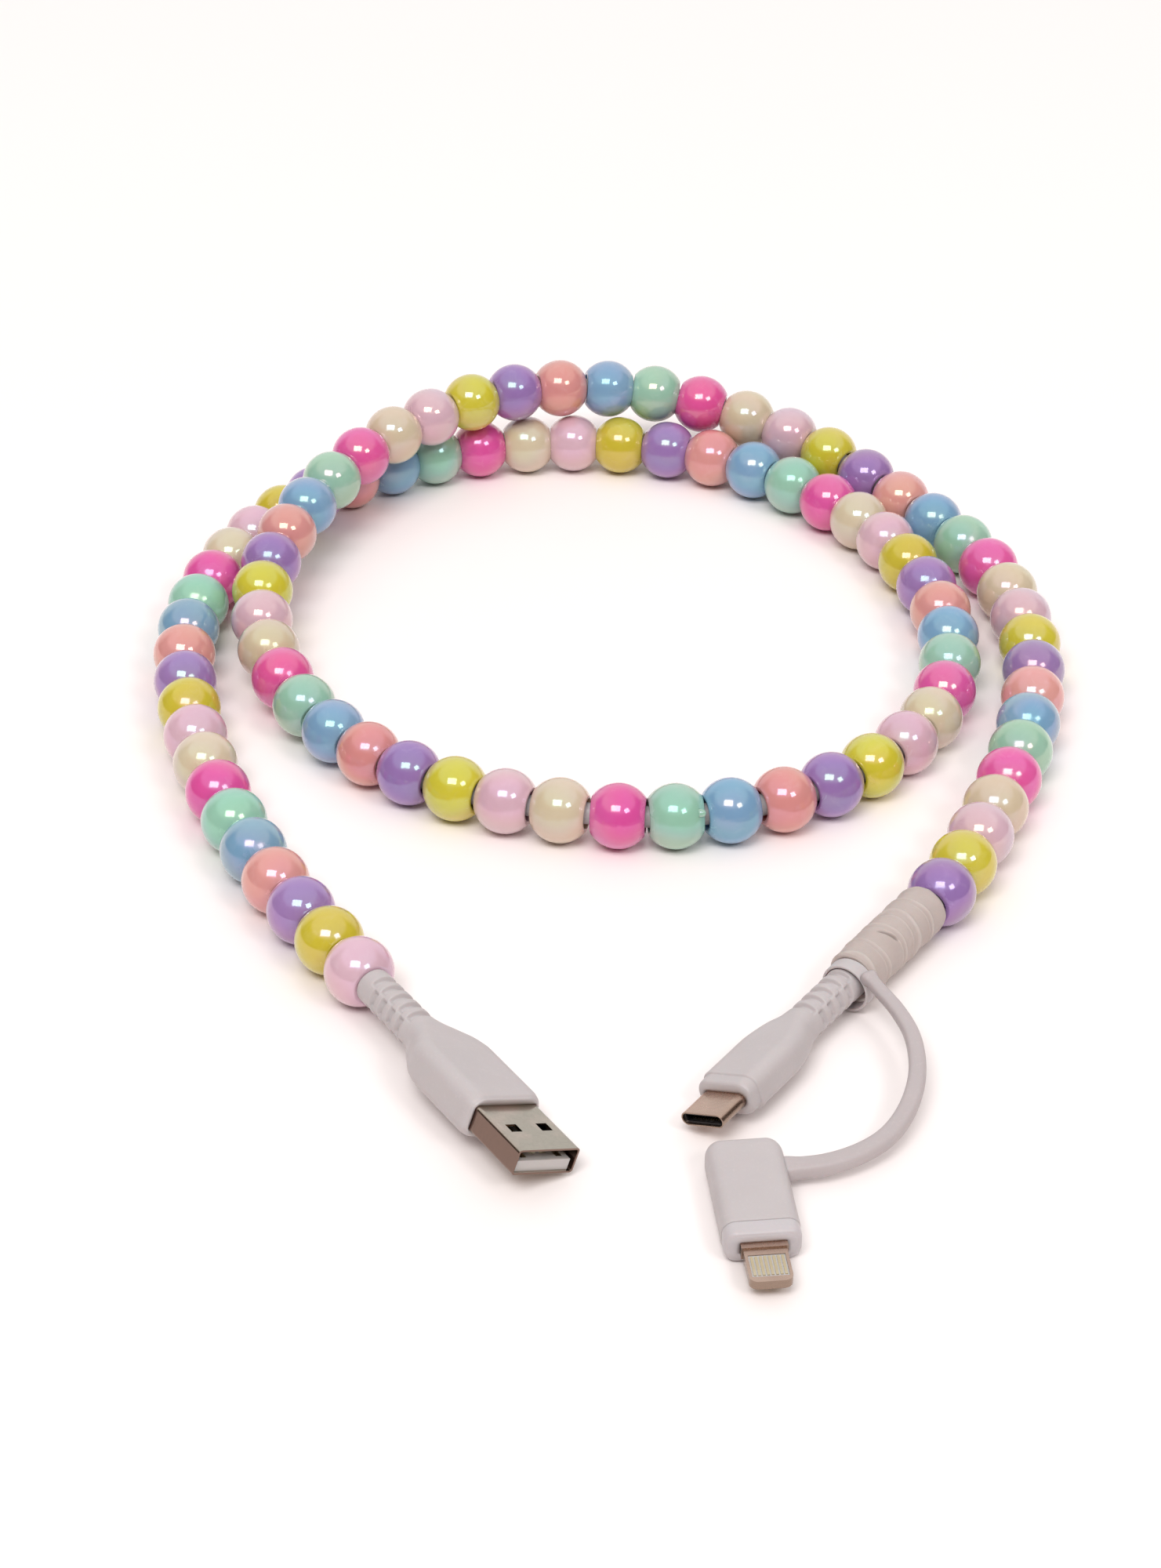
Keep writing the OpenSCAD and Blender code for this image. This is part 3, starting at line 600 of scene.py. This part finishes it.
def tape_sleeve():
    """Tape wound round the cable's end in overlapping turns: a soft raised lip at each lap, slack
    between the laps, and one deep crease on the side that faces up and to the front."""
    around, length, turns = 160, 24.0, 5
    pitch = length / turns
    crease_at, crease_angle = 15, 0.85
    angles = full_turn(around)
    rings, laps = [], []
    for x in np.linspace(0, length, 300):
        drift = 0.1 * np.sin(0.9 * x + 1) + 0.05 * np.sin(2 * angles + 0.5 * x)
        turn = x / pitch + 0.22 * np.cos(angles - 0.6) + drift + 0.1
        phase = turn - np.floor(turn)
        lip = np.exp(-((phase - 0.12) / 0.055) ** 2) + 0.5 * np.exp(-((phase - 0.42) / 0.04) ** 2)
        belly = np.sin(math.pi * smooth(0.16, 1.0, phase))
        wave = 0.05 * np.sin(3 * angles + 1.1 * x) + 0.04 * np.sin(5 * angles - 0.7 * x + 2)
        off_crease = x - crease_at - 1.6 * np.sin(angles - crease_angle)
        crease_side = smooth(0.86, 0.99, np.cos(angles - crease_angle))
        crease = -0.42 * np.exp(-(off_crease / 0.35) ** 2) * crease_side
        ends = smooth(0, 0.5, x) * smooth(0, 0.4, length - x)
        r = 4.42 + 0.24 * lip + 0.1 * belly + wave + crease - 0.3 * (1 - ends)
        rings.append(round_ring(x, r, angles))
        # Painted highlight on each lip and painted shade in the crease, read by the tape's material.
        laps.append(np.clip(lip, 0, 1) + 4 * np.minimum(crease, 0))
    back = [round_ring(x, r, angles) for x, r in ((1.5, 2.05), (0, 2.2))]
    inner = [round_ring(x, r, angles) for x, r in ((length, 3.4), (length - 1.0, 3.26))]
    rings = back + rings + inner
    laps = [np.zeros(around)] * len(back) + laps + [np.zeros(around)] * len(inner)
    tape = loft("tape_sleeve_skin", rings, TAPE, USB_C)
    point_values(tape, "tape_lap_highlight_and_shade", laps)
    return tape


def tether_strap():
    """The moulded strap and the points of its centre line. Its section is a rounded square that
    thickens towards the adapter, with a flare at each root."""
    around = 40
    squareness = 0.72
    angles = full_turn(around)
    c, s = np.cos(angles), np.sin(angles)
    last = len(TETHER) - 1
    rings, path = [], []
    for u in np.linspace(0, last, 110):
        at = on_curve(TETHER, u)
        along = heading_at(TETHER, u)
        side = np.cross(along, (0, 0, 1))
        side /= np.linalg.norm(side)
        up = np.cross(side, along)
        share = u / last
        flare = 0.3 * float(1 - smooth(0, 0.05, share)) + 0.14 * float(smooth(0.96, 1, share))
        r = (1.1 + 0.65 * share) * (1 + flare)
        across = np.sign(c) * np.abs(c) ** squareness * r * 1.04
        high = np.sign(s) * np.abs(s) ** squareness * r * 0.86
        rings.append(at + (np.outer(across, side) + np.outer(high, up)) * MM)
        path.append(at)
    into_adapter = 0.5
    rings.append(rings[-1] + along * into_adapter * MM)
    faces = ring_faces(len(rings), around)
    strap = mesh_object("tether_strap_skin", np.concatenate(rings), faces, STRAP_PLASTIC)
    return strap, path


# ---- beads ----

BEAD_R = 6.0
SHORTEST_HALF = 4.75
LONGEST_HALF = 5.0
HOLE_R = 2.8
BEADS = 91
BEADS_PER_SPAN = 3
TURNING = 46
BEAD_AROUND = 60
GOLDEN_STEP = 0.618034


def bead_place(number):
    """Where on ROUTE a bead's centre is."""
    return 1 + (number - 1) / BEADS_PER_SPAN


def bead_half(number):
    """Half the length of a bead, as far as its two neighbours leave room where the cable bends. Its
    soft rims let it reach a little further than a hard-edged bead."""
    if number in (1, BEADS):
        return SHORTEST_HALF
    end_r, soft_reach = 3.0, 0.12
    here = bead_place(number)
    rooms = []
    for there in (bead_place(number - 1), bead_place(number + 1)):
        apart = np.linalg.norm(on_curve(ROUTE, there) - on_curve(ROUTE, here)) / MM
        bend = np.linalg.norm(heading_at(ROUTE, there) - heading_at(ROUTE, here))
        rooms.append(apart - end_r * bend)
    return float(np.clip(min(rooms) / 2 + soft_reach, SHORTEST_HALF, LONGEST_HALF))


def bead_profile(half_len):
    """(station, radius) points of a bead: a ball cut flat at both ends, with soft rims and a hole."""
    rim_r = math.sqrt(BEAD_R ** 2 - half_len ** 2)
    soft, lip = 0.42, 0.16
    steep = math.atan2(rim_r, half_len)
    top = math.atan2(rim_r + soft * 0.55, half_len - soft * 0.5)
    ball = [(BEAD_R * math.cos(a), BEAD_R * math.sin(a)) for a in np.linspace(top, math.pi / 2, 17)]
    cx, cr = half_len - soft, max(rim_r - soft * math.sin(steep) * 0.55, HOLE_R + lip)
    rim = [(cx + soft * math.cos(a), cr + soft * math.sin(a)) for a in np.linspace(0.12, steep, 4)]
    bore = [(half_len - lip + lip * math.sin(a), HOLE_R + lip - lip * math.cos(a))
            for a in np.linspace(0, math.pi / 2, 5)]
    half = [(2.5, HOLE_R)] + bore + rim + ball[:-1]
    return [(0.0, HOLE_R)] + half + [(0.0, BEAD_R)] + [(-x, r) for x, r in reversed(half)]


def bead_matrix(number):
    """A bead's frame: local X along the cable, with a spin of its own."""
    u = bead_place(number)
    along = Vector(heading_at(ROUTE, u))
    spin = Matrix.Rotation(2.4 * number, 4, "X")
    turn = along.to_track_quat("X", "Z").to_matrix().to_4x4()
    return Matrix.Translation(Vector(on_curve(ROUTE, u))) @ turn @ spin


def beads(name, numbers, material):
    """One object with a bead for each of these numbers, each with its own tone and worn rims."""
    angles = full_turn(BEAD_AROUND)
    verts, faces, tones, rims = [], [], [], []
    for k, number in enumerate(numbers):
        profile = bead_profile(bead_half(number))
        per_bead = len(profile) * BEAD_AROUND
        points = np.concatenate([round_ring(x, r, angles) for x, r in profile])
        verts.append(moved(points, bead_matrix(number)))
        faces += ring_faces(len(profile), BEAD_AROUND, k * per_bead, joined=True)
        tones.append(np.full(per_bead, (number * GOLDEN_STEP) % 1))
        ring_rim = [float(smooth(3.4, 4.6, abs(x))) for x, r in profile]
        rims.append(np.repeat(ring_rim, BEAD_AROUND))
    obj = mesh_object(name, np.concatenate(verts), faces, material)
    point_values(obj, "bead_tone", tones)
    point_values(obj, "bead_rim", rims)
    return obj


def moulding_nub(material):
    """The short stub that the mould's gate left on the rim of the turning bead."""
    at = bead_matrix(TURNING)
    towards = at.inverted().to_3x3() @ Vector((0, -0.8, 0.6))
    angle = math.atan2(towards.z, towards.y)
    off_axis = 4.4
    turn = full_turn(20)
    rings = []
    for x, r in ((-5.0, 0.15), (-4.93, 0.42), (-4.7, 0.58), (-4.3, 0.7), (-3.6, 0.85)):
        y, z = off_axis + r * 0.8 * np.cos(turn), r * np.sin(turn)
        outline = np.column_stack([y * math.cos(angle) - z * math.sin(angle),
                                   y * math.sin(angle) + z * math.cos(angle)])
        rings.append(ring_at(x, outline) * MM)
    return loft("turning_bead_nub", rings, material, at)


# ---- build the pieces ----

def fix(obj, body, slot, *nodes):
    """Hangs a finished piece on the body it rides on and hides the CAD nodes that it stands for. The finish
    slot is not used.
    """
    if nodes:
        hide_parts(*nodes)
    if body:
        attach(obj, body)
    return obj


fix(usb_a_grip(), "cable", "pale_grip", "usb_a_grip")
grip_c = fix(usb_c_grip(), "cable", "pale_grip", "usb_c_grip")
sleeve = fix(tape_sleeve(), "cable", "tape", "tape_sleeve")
fix(cable, "cable", "pale_jacket", "cable_jacket")

fix(tether_ring(), "tether", "pale_grip", "tether_ring")
strap, strap_path = tether_strap()
fix(strap, None, "pale_grip", "tether_strap")
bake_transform(strap)

fix(adapter_housing(), "adapter", "pale_grip", "adapter_housing")
fix(adapter_cap(), "adapter", "pale_grip", "adapter_front_cap")

for place, (colour, shades) in enumerate(BEAD_COLOURS.items()):
    material = bead_material(colour + "_pearl", *shades)
    numbers = [n for n in range(place + 1, BEADS + 1, len(BEAD_COLOURS)) if n != TURNING]
    fix(beads(colour + "_bead_group", numbers, material), "cable", colour + "_bead", "beads_" + colour)
    if (TURNING - 1) % len(BEAD_COLOURS) == place:
        turning = beads("turning_bead_skin", [TURNING], material)
        fix(turning, "turning_bead", colour + "_bead", "turning_bead")
        fix(moulding_nub(material), "turning_bead", colour + "_bead")

CAD_FINISH = {
    "usb_a_metal_tube": STEEL, "usb_c_metal_tube": DARK_STEEL, "adapter_tip_metal": DARK_STEEL,
    "adapter_socket_tube": STEEL, "usb_c_latch_springs": STEEL,
    "usb_a_contacts": GOLD, "usb_c_contacts_upper": GOLD, "usb_c_contacts_lower": GOLD,
    "adapter_socket_contacts_upper": GOLD, "adapter_socket_contacts_lower": GOLD,
    "adapter_tip_contacts_upper": GOLD, "adapter_tip_contacts_lower": GOLD,
    "usb_a_tongue": WHITE_CORE, "adapter_tip_insulator": WHITE_CORE,
    "usb_c_contact_block": BLACK_CORE, "adapter_socket_tongue": BLACK_CORE,
    "usb_a_inner_mould": INNER, "usb_c_inner_mould": INNER, "adapter_inner_mould": INNER,
    "usb_c_board": BOARD, "adapter_board": BOARD,
    "adapter_chip": BLACK_CORE, "usb_c_resistor": BLACK_CORE,
    "usb_a_wires": WIRE, "usb_c_wires": WIRE,
}
for node, material in CAD_FINISH.items():
    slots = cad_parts[node].data.materials
    slots.clear()
    slots.append(material)

# ---- floor, light and sky ----

def floor():
    m = Nodes("studio_floor", roughness=0.6, ior=1.4)
    m.colour(m.mix(m.spread(m.noise(0.4, 2), 0.3, 0.7), linear((253, 247, 246)), linear((252, 246, 245))))
    half = 12
    corners = [(-half, -half, 0), (half, -half, 0), (half, half, 0), (-half, half, 0)]
    mesh_object("studio_floor", corners, [(0, 1, 2, 3)], m.material)


def area_light(name, direction, wide, high, distance, power, colour=(1, 1, 1), roll=0.0):
    """A soft rectangular lamp that faces the object from this direction."""
    lamp = bpy.data.lights.new(name, "AREA")
    lamp.shape = "RECTANGLE"
    lamp.size, lamp.size_y = wide, high
    lamp.energy = power
    lamp.color = colour
    obj = bpy.data.objects.new(name, lamp)
    towards = Vector(direction).normalized()
    aim = Vector((0, 0.02, 0))
    rolled = Matrix.Rotation(roll, 3, "Z").to_quaternion()
    obj.location = aim + towards * distance
    obj.rotation_mode = "QUATERNION"
    obj.rotation_quaternion = (-towards).to_track_quat("-Z", "Y") @ rolled
    bpy.context.scene.collection.objects.link(obj)


def sky():
    """A white surround: bright overhead and behind the object, dim and warm low down elsewhere."""
    dim, bright = 0.1, 0.86
    world = bpy.data.worlds.new("studio")
    bpy.context.scene.world = world
    world.use_nodes = True
    nodes, links = world.node_tree.nodes, world.node_tree.links
    back = nodes["Background"]
    coords = nodes.new("ShaderNodeTexCoord")
    split = nodes.new("ShaderNodeSeparateXYZ")
    links.new(coords.outputs["Generated"], split.inputs[0])

    def ramp(value, low, high, a, b):
        n = nodes.new("ShaderNodeMapRange")
        n.interpolation_type = "SMOOTHSTEP"
        for key, v in (("From Min", low), ("From Max", high), ("To Min", a), ("To Max", b)):
            n.inputs[key].default_value = v
        links.new(value, n.inputs["Value"])
        return n.outputs["Result"]

    height = ramp(split.outputs["Z"], 0.5, 0.74, 0.0, 1.0)
    behind = ramp(split.outputs["Y"], 0.3, 0.75, 0.0, 1.0)
    lit = nodes.new("ShaderNodeMath")
    lit.operation = "MAXIMUM"
    links.new(height, lit.inputs[0])
    links.new(behind, lit.inputs[1])
    links.new(ramp(lit.outputs[0], 0.0, 1.0, dim, bright), back.inputs["Strength"])
    tint = nodes.new("ShaderNodeMix")
    tint.data_type = "RGBA"
    tint.inputs[MIX_A].default_value = (1.0, 0.72, 0.58, 1.0)
    tint.inputs[MIX_B].default_value = (1.0, 0.99, 0.985, 1.0)
    links.new(lit.outputs[0], tint.inputs[0])
    links.new(tint.outputs[MIX_RESULT], back.inputs["Color"])


floor()
sky()
area_light("key_light", (-0.169, -0.511, 0.843), 2.15, 1.45, 4, 78, (1.0, 0.98, 0.97), 0.15)
area_light("side_light", (0.466, -0.545, 0.699), 1.12, 0.95, 4, 30, (1.0, 0.985, 0.97))
bpy.context.scene.view_settings.view_transform = "Standard"
